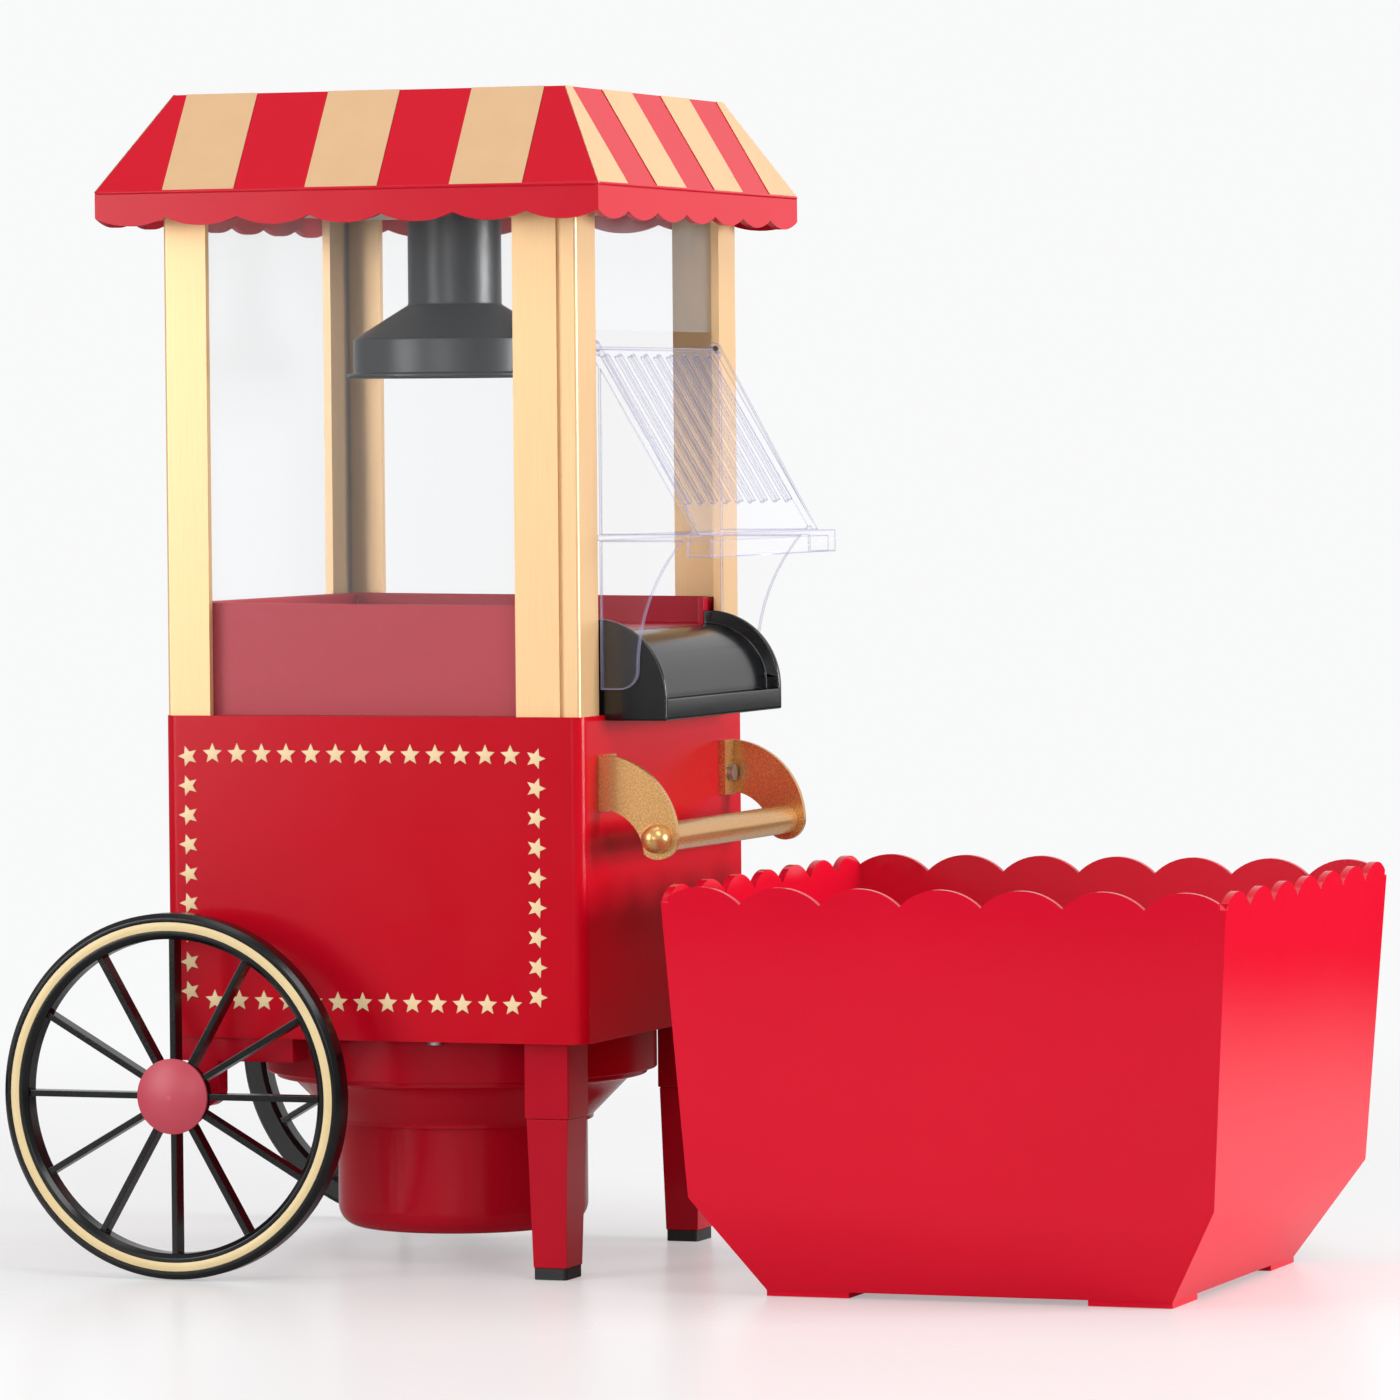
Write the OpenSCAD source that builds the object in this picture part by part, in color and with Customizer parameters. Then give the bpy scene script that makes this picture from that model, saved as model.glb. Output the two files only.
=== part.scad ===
// Cart style hot air popcorn maker with its serving bowl.
// Millimetres, +Z up. The front, with the chute and the handle, faces -Y.
// The origin is on the table, under the middle of the maker and its bowl.

/* [Base box] */
// Width of the red base box, side to side
box_w = 168; // [150:1:190]
// Depth of the base box, front to back
box_d = 160; // [145:1:180]
// Height of the base box
box_h = 115; // [100:1:130]
// Height of the box's underside above the table
box_lift = 84; // [78:1:95]
// Wall thickness of the box
box_wall = 3; // [2:0.5:4]
// Radius of the box's upright corners
box_corner_r = 5; // [3:0.5:8]
// Distance of a floor screw from the box's side
screw_in_x = 9; // [8:1:12]
// Distance of a floor screw from the box's front or rear
screw_in_y = 60; // [50:1:64]
// Thickness of the plate that closes the box from below
floor_plate_t = 3; // [2:0.5:4]

/* [Cabinet] */
// Height of the windows and posts above the box
cabinet_h = 186; // [160:1:210]
// Thickness of a corner post's flanges
post_t = 3; // [2:0.5:4]
// Width of a post's flange along the cabinet's side
post_side_w = 16.5; // [12:0.5:22]
// Width of a post's flange along the front or back
post_front_w = 19; // [14:0.5:22]
// Width of the round bead on a front post's corner
bead_w = 5.5; // [4:0.5:8]
// Width of the groove beside the bead
groove_w = 2; // [1:0.5:3]
// Depth of that groove
groove_depth = 1.2; // [0.5:0.1:2]
// How far the posts stand back from the box's faces
post_setback = 1.2; // [0.5:0.1:3]
// Thickness of the clear windows
window_t = 1.8; // [1.2:0.2:3]

/* [Popping deck] */
// Height of the deck's side walls above the box
deck_h = 41; // [34:1:50]
// Height of the deck's floor above the box
deck_floor_h = 29; // [22:1:32]
// Wall thickness of the deck
deck_wall = 2.4; // [1.6:0.2:4]

/* [Roof] */
// Width of the roof at its eaves
roof_w = 208; // [195:1:230]
// Depth of the roof at its eaves
roof_d = 191; // [182:1:210]
// Height of the sloping part of the roof
slope_h = 35; // [28:1:45]
// How far each side slope leans in
slope_run_x = 23; // [15:0.5:30]
// How far the front and back slopes lean in
slope_run_y = 21; // [15:0.5:30]
// Wall thickness of the roof
roof_wall = 2.4; // [1.6:0.2:4]
// Height of the hanging edge down to the scallops' points
valance_h = 9; // [7:0.5:14]
// How far each scallop hangs below its points
scallop_drop = 3; // [2:0.5:4]
// Scallops along each edge of the roof
scallops = 7; // [5:1:9]
// How far the side stripes stand behind the middle of the roof
stripe_shift = 1.2; // [0:0.1:3]
// Thickness of the painted stripes and stars
paint_t = 0.3; // [0.2:0.1:0.6]
// Thickness of the ceiling panel under the roof
liner_t = 2.5; // [2:0.5:4]

/* [Filler and measuring cap] */
// Outer radius of the filler's neck
neck_r = 17; // [14:0.5:20]
// Outer radius of the hood's bell
bell_r = 37; // [30:0.5:42]
// Height of the bell's straight band
bell_band_h = 14; // [10:0.5:20]
// Height of the cone between neck and band
bell_cone_h = 12.5; // [8:0.5:18]
// Height of the bell's lower edge above the box
bell_h = 120; // [100:1:130]
// Wall thickness of the filler hood
bell_wall = 2; // [1.5:0.5:3]
// Radius of the measuring cap's cup
cap_r = 25; // [22:0.5:28]
// Depth of the measuring cap
cap_depth = 22; // [15:1:24]
// Clearance round parts that lift off
lift_gap = 0.5; // [0.3:0.1:1]

/* [Front hood] */
// Outer width over the hood's cheeks
hood_w = 127; // [110:1:127]
// Height of the hood's hinge pins above the box
hood_pin_h = 130; // [120:1:138]
// Height of the hood's shelf above the box
shelf_h = 63.5; // [58:0.5:70]
// How far the shelf stands out from the front posts
shelf_reach = 44; // [38:1:50]
// How far the slotted plate's foot stands out from the front posts
plate_reach = 38; // [32:1:44]
// Height of the lip under the shelf's front edge
lip_h = 8; // [5:0.5:12]
// Thickness of the hood's plastic
hood_t = 2; // [1.5:0.5:3]
// Radius of the hinge pins
hood_pin_r = 1; // [0.8:0.1:1.2]
// Number of slots in the slanted plate
slot_count = 9; // [5:2:11]
// Width of one slot
slot_w = 3; // [2:0.5:4]
// Widest swing of the hood, in degrees
hood_swing = 50; // [30:5:60]

/* [Chute] */
// Width over the chute's cheeks
chute_w = 122; // [100:1:122]
// How far the chute stands out from the box
chute_reach = 23; // [18:1:30]
// Radius of the cheeks' curve
cheek_r = 27.5; // [24:0.5:32]
// Thickness of the chute's walls
chute_t = 2.5; // [2:0.5:3.5]
// How deep the ramp lies below the cheeks' edge
ramp_depth = 5; // [3:0.5:7]
// How far the chute reaches below the box's top
chute_drop = 2; // [1:0.5:4]
// Height of the chute's front lip
chute_lip_h = 7.5; // [5:0.5:10]

/* [Handle] */
// Height of the bar above the table
bar_z = 156; // [145:1:165]
// Radius of the bar
bar_r = 5.2; // [4:0.2:6]
// Distance from the box's front face to the bar's centre
bar_reach = 22; // [20:0.5:30]
// Distance between the two arms' outer faces
arm_span = 137; // [120:1:150]
// Thickness of an arm
arm_t = 2.4; // [1.6:0.2:3]
// Outer radius of an arm's curve
arm_r = 29.5; // [28:0.5:34]
// Height of an arm's top above the bar's centre
arm_rise = 29.3; // [26:0.1:34]
// Inner radius of an arm's curve
arm_inner_r = 17; // [12:0.5:18]
// Width of the flange that is screwed to the box
flange_w = 12; // [9:0.5:16]
// Height of that flange
flange_h = 20; // [16:1:24]

/* [Legs and feet] */
// Width of a leg's socket, front to back
leg_w = 16.5; // [14:0.5:20]
// Width of a leg's socket, side to side
leg_side_w = 20; // [16:0.5:24]
// Height of the socket under the box
socket_h = 27; // [20:1:34]
// Width of the leg at its foot, front to back
leg_foot_w = 12.4; // [10:0.2:14]
// How far the sockets stand in from the box's faces
leg_inset = 6.5; // [5:0.5:14]
// Height of the rubber feet
foot_h = 4; // [3:0.5:6]

/* [Wheels] */
// Outer radius of a wheel
wheel_r = 65; // [58:0.5:68]
// Thickness of the rim
rim_t = 9.5; // [7:0.5:12]
// Radial width of the rim
rim_w = 9.2; // [6:0.1:11]
// Number of spokes
spokes = 12; // [8:1:16]
// Thickness of a spoke, seen from the side
spoke_t = 2.2; // [1.6:0.2:4]
// Depth of a spoke along the axle
spoke_depth = 6; // [4:0.5:6.5]
// Radius of the hub
hub_r = 12; // [9:0.5:15]
// Radius of the red hub cap
hub_cap_r = 13.4; // [10:0.2:16]
// Height of the hub cap's dome
hub_cap_h = 4.2; // [3:0.2:6]
// Width of the gold stripe on the rim
ring_w = 3; // [2:0.2:4]
// Distance from the box's side to the rim
wheel_gap = 18; // [10:0.5:22]
// Distance of the axle behind the middle of the box
axle_y = 66.75; // [62:0.25:72]
// Radius of the two axle stubs
axle_r = 2.6; // [2:0.1:4]
// Width of the bracket that is screwed under the box
bracket_w = 14; // [12:0.5:14]
// Length of that bracket, front to back
bracket_l = 46; // [36:1:48]
// Height of that bracket
bracket_h = 8.5; // [5:0.5:10]
// Radius of the bracket's lug round the axle
lug_r = 6; // [5:0.5:9]
// Radius of the sleeve between that lug and the wheel
sleeve_r = 4.5; // [4:0.5:5]
// Gap between that sleeve and the wheel
sleeve_gap = 0.4; // [0.3:0.1:1]
// Thickness of that lug
lug_t = 8; // [5:0.5:10]
// Running clearance round the axle
axle_gap = 0.05; // [0.03:0.01:0.1]

/* [Blower housing] */
// Radius of the drum under the box
drum_r = 71; // [66:0.5:71.5]
// Height of the drum
drum_h = 16; // [12:0.5:20]
// Radius of the motor cup
cup_r = 45.5; // [42:0.5:54]
// Height of the motor cup's top above the table
cup_top = 51; // [46:0.5:56]
// Height of the motor cup's underside above the table
cup_bottom = 11; // [9:0.5:16]
// Radius of the rounded edge under the cup
cup_edge_r = 8; // [5:0.5:10]
// Height of the collar where the drum's cone grips the cup
collar_h = 1.5; // [1:0.5:5]
// Wall thickness of drum and cup
housing_wall = 2.5; // [2:0.5:3.5]

/* [Popping chamber and blower] */
// Outer radius of the popping chamber
chamber_r = 42; // [36:0.5:44]
// Height of the popping chamber
chamber_h = 108; // [95:1:112]
// Wall thickness of the chamber
chamber_wall = 1.2; // [0.8:0.1:1.6]
// Radius of a heater ring
coil_r = 27; // [20:0.5:32]
// Radius of the heater's coiled wire
coil_wire_r = 1.2; // [0.8:0.1:1.6]
// Radius of the fan
fan_r = 38; // [30:0.5:42]
// Height of the fan's blades
fan_h = 15; // [10:0.5:17]
// Number of fan blades
fan_blades = 9; // [7:1:12]
// Radius of the motor shaft
shaft_r = 1.6; // [1.2:0.1:2.5]
// Radius of the motor's can
motor_r = 17; // [14:0.5:20]
// Height of the motor's can
motor_h = 30; // [24:0.5:32]

/* [Star border] */
// Distance from a star's centre to its points
star_r = 3.8; // [3:0.1:4.4]
// Stars in the top row
stars_across = 15; // [11:1:15]
// Stars in an upright row
stars_down = 9; // [7:1:9]
// Spread of the border along the side panel
stars_w = 133; // [120:1:134]
// Spread of the border up the side panel
stars_h = 84; // [76:1:90]
// How far the border lies behind the middle of the box
stars_shift = 4; // [0:0.5:4]
// Height of the border's middle above the box's underside
stars_mid = 58.5; // [52:0.5:60]

/* [Rear fittings] */
// Width of the rocker switch
switch_w = 13; // [10:0.5:16]
// Height of the rocker switch
switch_h = 19; // [16:0.5:24]
// Radius of the cord outlet's collar
gland_r = 5; // [4:0.5:7]
// Height of switch and outlet above the box's underside
rear_fitting_h = 28; // [22:1:40]

/* [Serving bowl] */
// Length of the bowl over its rim, front to back
bowl_d = 202; // [180:1:220]
// Width of the bowl over its rim, side to side
bowl_w = 208; // [180:1:220]
// Height of the rim's low points above the table
bowl_h = 137; // [120:1:150]
// How much the bowl narrows from rim to bevel, on each side
bowl_draft = 7; // [2:0.5:9]
// Height of the bevel's upper edge
bevel_h = 35.5; // [28:0.5:42]
// How much the bevel leans in, on each side
bevel_run = 21; // [16:0.5:28]
// Height of the bowl's scallops above their points
bowl_scallop = 6; // [4:0.5:8]
// Wall thickness of the bowl
bowl_wall = 2.6; // [2:0.2:4]
// Height of the bowl's foot pads
pad_h = 2; // [1:0.5:4]
// Width of a foot pad
pad_w = 30; // [20:1:40]
// Distance of the bowl's middle in front of the maker's middle
bowl_front = 226; // [222:1:245]
// Distance of the bowl's middle to the left of the maker's middle
bowl_left = 25; // [0:1:40]

/* [Hidden] */

red = "#c4122a";
gold = "#e3bf86";
cream = "#eccfa6";
black = "#1d1e20";
clear = [0.86, 0.88, 0.95, 0.35];
steel = "#b9bcc0";

// A size that cuts run past a face, and the roundness of curved parts
over = 1;
$fn = 96;

// How far the hub cap's seat stands off the wheel's inner face
hub_seat = rim_t - 2.5;

// The whole set, maker and bowl, is centred over the origin
maker_half_w = max(roof_w / 2 + paint_t * cos(atan(slope_run_x / slope_h)),
                   box_w / 2 + wheel_gap + hub_seat + hub_cap_h);
set_min_x = min(-bowl_left - bowl_w / 2, -maker_half_w);
set_max_x = max(bowl_w / 2 - bowl_left, maker_half_w);
set_min_y = -bowl_front - bowl_d / 2;
set_max_y = axle_y + wheel_r;
maker_x = -(set_min_x + set_max_x) / 2;
maker_y = -(set_min_y + set_max_y) / 2;

// Heights
box_top = box_lift + box_h;
eave_z = box_top + cabinet_h;
roof_top = eave_z + slope_h;
deck_floor = box_top + deck_floor_h;
chamber_bottom = deck_floor - chamber_h;
bell_bottom = box_top + bell_h;
bell_top = bell_bottom + bell_band_h + bell_cone_h;
pin_z = box_top + hood_pin_h;
shelf_z = box_top + shelf_h;

// Cabinet planes
deck_gap = 0.3;
post_x = box_w / 2 - post_setback;
post_y = box_d / 2 - post_setback;
window_x = post_x - post_t;
window_y = post_y - post_t;
deck_x = window_x - window_t;
deck_y = window_y - window_t;
pin_y = -post_y + post_t / 2;

// Wheel planes
rim_in = box_w / 2 + wheel_gap;
rim_out = rim_in + rim_t;
ring_r = wheel_r - rim_w / 2;
bracket_x = box_w / 2 - 2;

// Legs
leg_x = box_w / 2 - leg_inset - leg_side_w / 2;
leg_y = box_d / 2 - leg_inset - leg_w / 2 - 2.5;
leg_foot_side_w = leg_side_w - (leg_w - leg_foot_w);

// Underside of the handle's flanges
flange_low = bar_z + arm_rise - flange_h;

// Blower levels
mount_z = cup_top - 3;
fan_z = mount_z + 8;
motor_top = mount_z;

module maker() {
  translate([maker_x, maker_y, 0]) children();
}

module both_sides() {
  children();
  mirror([1, 0, 0]) children();
}

// A box standing on z = 0, centred in x and y
module block(w, d, h) {
  translate([-w / 2, -d / 2, 0]) cube([w, d, h]);
}

module rounded_block(w, d, h, r) {
  linear_extrude(h) {
    square([w - 2 * r, d], center = true);
    square([w, d - 2 * r], center = true);
    for (sx = [-1, 1], sy = [-1, 1])
      translate([sx * (w / 2 - r), sy * (d / 2 - r)]) circle(r);
  }
}

// Extrudes a flat outline, drawn as [y, z], along x from x0 to x1
module along_x(x0, x1) {
  translate([x0, 0, 0]) rotate([90, 0, 90]) linear_extrude(x1 - x0) children();
}

// Extrudes a flat outline, drawn as [x, z], along y from y0 to y1
module along_y(y0, y1) {
  translate([0, y1, 0]) rotate([90, 0, 0]) linear_extrude(y1 - y0) children();
}

module rod_x(r, x0, x1) {
  translate([x0, 0, 0]) rotate([0, 90, 0]) cylinder(r = r, h = x1 - x0);
}

// A pyramid without its top, from a bottom and a top rectangle
module frustum(w0, d0, w1, d1, h) {
  intersection() {
    along_y(-max(d0, d1) / 2, max(d0, d1) / 2)
      polygon([[-w0 / 2, 0], [w0 / 2, 0], [w1 / 2, h], [-w1 / 2, h]]);
    along_x(-max(w0, w1) / 2, max(w0, w1) / 2)
      polygon([[-d0 / 2, 0], [d0 / 2, 0], [d1 / 2, h], [-d1 / 2, h]]);
  }
}

// Radius of an arc from its chord and its rise
function arc_r(chord, rise) = chord * chord / (8 * rise) + rise / 2;

// A row of round scallops that stand up from y = 0, with a strip below them
module scallop_row(length, count, rise, strip) {
  pitch = length / count;
  r = arc_r(pitch, rise);
  translate([-length / 2, -strip]) square([length, strip]);
  for (i = [0 : count - 1])
    translate([-length / 2 + (i + 0.5) * pitch, 0])
      intersection() {
        translate([0, rise - r]) circle(r);
        translate([-pitch / 2, -strip]) square([pitch, strip + rise]);
      }
}

// ---------------------------------------------------------------- roof

// One hanging wall with its scallops, at the back of a roof with these outer sizes
module valance_wall(length, depth) {
  half = length / 2;
  translate([0, depth / 2 - roof_wall, eave_z])
    intersection() {
      along_y(0, roof_wall) translate([0, -valance_h])
        mirror([0, 1]) scallop_row(length, scallops, scallop_drop, valance_h);
      // Mitred ends
      translate([0, 0, -4 * valance_h]) linear_extrude(8 * valance_h)
        polygon([[-half, roof_wall], [half, roof_wall], [half - roof_wall, 0], [roof_wall - half, 0]]);
    }
}

module roof_canopy() {
  top_w = roof_w - 2 * slope_run_x;
  top_d = roof_d - 2 * slope_run_y;
  lean_x = slope_run_x / slope_h;
  lean_y = slope_run_y / slope_h;
  inner_h = slope_h - roof_wall;
  inner_w = roof_w - 2 * roof_wall;
  inner_d = roof_d - 2 * roof_wall;
  color(red) maker() {
    difference() {
      translate([0, 0, eave_z]) frustum(roof_w, roof_d, top_w, top_d, slope_h);
      translate([0, 0, eave_z - over])
        frustum(inner_w + 2 * lean_x * over, inner_d + 2 * lean_y * over,
                inner_w - 2 * lean_x * inner_h, inner_d - 2 * lean_y * inner_h, inner_h + over);
      translate([0, 0, eave_z]) cylinder(r = cap_r + lift_gap, h = slope_h + over);
      translate([0, 0, roof_top - 2]) cylinder(r = cap_r + 3.5 + lift_gap, h = 2 + over);
    }
    for (side = [0, 1]) {
      mirror([0, side, 0]) valance_wall(roof_w, roof_d);
      mirror([side, 0, 0]) rotate(-90) valance_wall(roof_d, roof_w);
    }
    // Seat under the top plate for the measuring cap's rim
    difference() {
      translate([0, 0, roof_top - roof_wall - 2]) cylinder(r = cap_r + 6, h = 2);
      translate([0, 0, eave_z]) cylinder(r = cap_r + lift_gap, h = slope_h);
    }
  }
}

// Painted stripes that run straight up one slope, cut off where the slope ends
module slope_stripes(bottom_w, run, lean_in, first, shift = 0) {
  length = sqrt(run * run + slope_h * slope_h);
  pitch = bottom_w / scallops;
  half = bottom_w / 2;
  rotate([90 - atan(run / slope_h), 0, 0])
    linear_extrude(paint_t) intersection() {
      polygon([[-half, 0], [half, 0], [half - lean_in, length], [lean_in - half, length]]);
      for (i = [first : 2 : scallops - 1])
        translate([i * pitch - half + shift, 0]) square([pitch, length]);
    }
}

module roof_stripes() {
  color(cream) maker() translate([0, 0, eave_z]) for (side = [0, 180]) {
    rotate(side) translate([0, -roof_d / 2, 0])
      slope_stripes(roof_w, slope_run_y, slope_run_x, 0);
    rotate(side - 90) translate([0, -roof_w / 2, 0])
      slope_stripes(roof_d, slope_run_x, slope_run_y, 1, side == 0 ? -stripe_shift : stripe_shift);
  }
}

module roof_liner() {
  w = roof_w - 2 * roof_wall - 2 * slope_run_x / slope_h * liner_t;
  d = roof_d - 2 * roof_wall - 2 * slope_run_y / slope_h * liner_t;
  rib_w = 2 * (deck_x - lift_gap);
  rib_d = 2 * (deck_y - lift_gap);
  color(red) maker() difference() {
    union() {
      translate([0, 0, eave_z]) block(w, d, liner_t);
      translate([0, 0, eave_z - 6]) difference() {
        block(rib_w, rib_d, 6);
        translate([0, 0, -over]) block(rib_w - 4, rib_d - 4, 6 + 2 * over);
      }
    }
    translate([0, 0, eave_z - over]) cylinder(r = neck_r, h = liner_t + 2 * over);
  }
}

module filler_funnel() {
  seat_z = roof_top - roof_wall - 2;
  low_z = eave_z + liner_t + 2;
  bend_z = seat_z - cap_depth + 2 + roof_wall;
  top_r = cap_r + 4;
  color(red) maker() rotate_extrude() polygon([
    [neck_r, low_z], [neck_r + 2, low_z], [top_r, bend_z], [top_r, seat_z],
    [top_r - 2, seat_z], [top_r - 2, bend_z + 1], [neck_r, low_z + 2]
  ]);
}

module filler_hood() {
  color(black) maker() rotate_extrude() {
    polygon([
      [neck_r - bell_wall, eave_z + liner_t + 2], [neck_r - bell_wall, bell_top - bell_wall],
      [bell_r - bell_wall, bell_bottom + bell_band_h - bell_wall], [bell_r - bell_wall, bell_bottom],
      [bell_r + 2.5, bell_bottom], [bell_r + 2.5, bell_bottom + 1.6], [bell_r, bell_bottom + 1.6],
      [bell_r, bell_bottom + bell_band_h], [neck_r, bell_top], [neck_r, eave_z + liner_t],
      [neck_r + 7, eave_z + liner_t], [neck_r + 7, eave_z + liner_t + 2]
    ]);
  }
}

module measuring_cap() {
  flange_z = roof_top - 2;
  color(red) maker() {
    difference() {
      union() {
        translate([0, 0, flange_z]) cylinder(r = cap_r + 3.5, h = 2);
        translate([0, 0, roof_top - cap_depth]) cylinder(r = cap_r, h = cap_depth);
      }
      translate([0, 0, roof_top - cap_depth + 2]) cylinder(r = cap_r - 2, h = cap_depth);
    }
    // Grip bar across the cap's mouth
    translate([0, 0, roof_top - 9]) block(2 * cap_r - 3, 3, 8);
  }
}

// ---------------------------------------------------------------- cabinet

// Section of the post at the cabinet's -x, -y corner, seen from above
module post_section(front) {
  extra = front ? bead_w + groove_w : 0;
  difference() {
    union() {
      translate([-post_x, -post_y + 1.5]) square([post_t, post_side_w + extra - 1.5]);
      translate([-post_x + 1.5, -post_y]) square([post_front_w - 1.5, post_t]);
      translate([-post_x + 1.5, -post_y + 1.5]) circle(1.5);
    }
    if (front)
      translate([-post_x - over, -post_y + bead_w]) square([over + groove_depth, groove_w]);
  }
}

module post(front) {
  color(gold) maker() translate([0, 0, box_top])
    difference() {
      linear_extrude(cabinet_h) post_section(front);
      if (front)
        translate([0, pin_y, hood_pin_h])
          rod_x(hood_pin_r + axle_gap, -hood_w / 2 - 8, -hood_w / 2 + 3);
    }
}

module post_front_left() {
  post(true);
}

module post_front_right() {
  flip_x() post(true);
}

module post_rear_left() {
  flip_y() post(false);
}

module post_rear_right() {
  flip_x() flip_y() post(false);
}

// Mirrors across the maker's own middle planes
module flip_x() {
  translate([2 * maker_x, 0, 0]) mirror([1, 0, 0]) children();
}

module flip_y() {
  translate([0, 2 * maker_y, 0]) mirror([0, 1, 0]) children();
}

module window_left() {
  color(clear) maker() translate([-window_x, -window_y, box_top])
    cube([window_t, 2 * window_y, cabinet_h]);
}

module window_right() {
  flip_x() window_left();
}

module window_rear() {
  color(clear) maker() translate([-deck_x, window_y - window_t, box_top])
    cube([2 * deck_x, window_t, cabinet_h]);
}

module window_front() {
  bottom = hood_pin_h + 6;
  color(clear) maker() translate([-deck_x, -window_y, box_top + bottom])
    cube([2 * deck_x, window_t, cabinet_h - bottom]);
}

module inner_deck() {
  w = 2 * (deck_x - deck_gap);
  d = 2 * (deck_y - deck_gap);
  opening = chute_w - 2 * chute_t;
  color(red) maker() translate([0, 0, box_top]) difference() {
    block(w, d, deck_h);
    // The tray above the floor, open to the chute
    translate([0, 0, deck_floor_h]) block(w - 2 * deck_wall, d - 2 * deck_wall, deck_h);
    translate([-opening / 2, -d, deck_floor_h]) cube([opening, d, deck_h]);
    // The hollow under the floor
    translate([0, 0, -over])
      block(w - 2 * deck_wall, d - 2 * deck_wall, deck_floor_h - deck_wall + over);
    cylinder(r = chamber_r + deck_gap, h = deck_h);
    // The walls fall slightly towards the front
    along_x(-w, w) polygon([[-d, deck_h - 3], [d, deck_h], [d, deck_h + 9], [-d, deck_h + 9]]);
  }
}

// ---------------------------------------------------------------- front hood and chute

module cheek_outline() {
  back = -post_y - 0.6;
  foot_r = 7;
  plate_foot = -post_y - plate_reach;
  low_front = -post_y - 14.5;
  low_z = box_top + 16;
  // The hollow curve of the front edge below the shelf
  curve_rise = shelf_z - lip_h - low_z;
  curve_run = 12.5;
  curve_r = (curve_rise * curve_rise + curve_run * curve_run) / (2 * curve_run);
  difference() {
    union() {
      difference() {
        polygon([
          [back, pin_z], [pin_y - 2, pin_z + 1.5], [plate_foot, shelf_z], [plate_foot, low_z], [back, low_z]
        ]);
        translate([low_front - curve_r, low_z]) circle(curve_r);
      }
      translate([low_front + foot_r, low_z]) circle(foot_r);
      translate([low_front + foot_r, low_z - foot_r])
        square([back - low_front - foot_r, foot_r]);
    }
    translate([back, box_top]) square([2 * foot_r, cabinet_h]);
  }
}

module slotted_plate() {
  rise = pin_z - shelf_z;
  foot_y = -post_y - plate_reach;
  length = sqrt(pow(pin_y - foot_y, 2) + rise * rise);
  lean = atan((pin_y - foot_y) / rise);
  pitch = (hood_w - 4 * hood_t) / slot_count;
  translate([0, foot_y, shelf_z]) rotate([-lean, 0, 0]) difference() {
    translate([-hood_w / 2, 0, 0]) cube([hood_w, hood_t, length]);
    for (i = [0 : slot_count - 1])
      translate([(i - (slot_count - 1) / 2) * pitch, 0, length * 0.17])
        translate([-slot_w / 2, -over, 0]) cube([slot_w, hood_t + 2 * over, length * 0.79]);
  }
}

module front_hood() {
  lip_w = hood_w + 4;
  front_y = -post_y - shelf_reach;
  color(clear) maker() {
    both_sides() {
      along_x(-hood_w / 2, -hood_w / 2 + hood_t) cheek_outline();
      // Hinge ear and pin, between the front posts
      translate([0, pin_y, pin_z]) {
        rod_x(2.4, -hood_w / 2, -hood_w / 2 + hood_t);
        rod_x(hood_pin_r, -hood_w / 2 - 3, -hood_w / 2);
      }
    }
    slotted_plate();
    // Shelf and its hanging lip, wider than the cheeks in front of the posts
    translate([-lip_w / 2, front_y, shelf_z - hood_t])
      cube([lip_w, shelf_reach - 0.6, hood_t]);
    translate([-lip_w / 2, front_y, shelf_z - lip_h]) cube([lip_w, hood_t, lip_h]);
    both_sides()
      translate([-lip_w / 2, front_y, shelf_z - lip_h]) cube([hood_t, 10, lip_h]);
  }
}

// Side view of the chute's cheek or ramp, for a curve of radius r
module chute_side(r) {
  centre_y = -box_d / 2 - chute_reach + cheek_r;
  centre_z = deck_floor - cheek_r + ramp_depth;
  back = -deck_y + deck_gap;
  bottom = box_top - chute_drop;
  difference() {
    intersection() {
      union() {
        translate([centre_y, centre_z]) circle(r);
        translate([centre_y - r, bottom]) square([2 * r, centre_z - bottom]);
      }
      translate([back - 2 * r, bottom]) square([2 * r, centre_z + r - bottom]);
    }
    translate([-box_d / 2, bottom - over]) square([2 * r, chute_drop + over]);
  }
}

module chute() {
  bottom = box_top - chute_drop;
  ramp_r = cheek_r - ramp_depth;
  front_y = -box_d / 2 - chute_reach;
  half = chute_w / 2;
  color(black) maker() {
    both_sides() along_x(-half, -half + chute_t) chute_side(cheek_r);
    // Curved ramp, a thin shell between the cheeks
    along_x(-half + chute_t, half - chute_t) difference() {
      chute_side(ramp_r);
      translate([0, -over]) chute_side(ramp_r - chute_t);
    }
    // Low front wall and the ledge behind it
    translate([-half, front_y, bottom]) cube([chute_w, chute_t, chute_lip_h]);
    translate([-half, front_y, bottom]) cube([chute_w, ramp_depth + chute_t, chute_t]);
  }
}

// ---------------------------------------------------------------- base

module base_box() {
  inner_w = box_w - 2 * box_wall;
  inner_d = box_d - 2 * box_wall;
  inner_r = box_corner_r - box_wall;
  color(red) maker() difference() {
    translate([0, 0, box_lift]) rounded_block(box_w, box_d, box_h, box_corner_r);
    translate([0, 0, box_lift - over])
      rounded_block(inner_w, inner_d, box_h - box_wall + over, inner_r);
    translate([0, 0, box_lift]) cylinder(r = chamber_r + 3, h = box_h + over);
    rear_fitting(-30) translate([-switch_w / 2, -box_wall - over, -switch_h / 2])
      cube([switch_w, box_wall + 2 * over, switch_h]);
    rear_fitting(30) rotate([90, 0, 0]) translate([0, 0, -over])
      cylinder(r = gland_r, h = box_wall + 2 * over);
  }
}

// Places a fitting on the outside of the box's rear wall
module rear_fitting(x) {
  translate([x, box_d / 2, box_lift + rear_fitting_h]) children();
}

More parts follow.
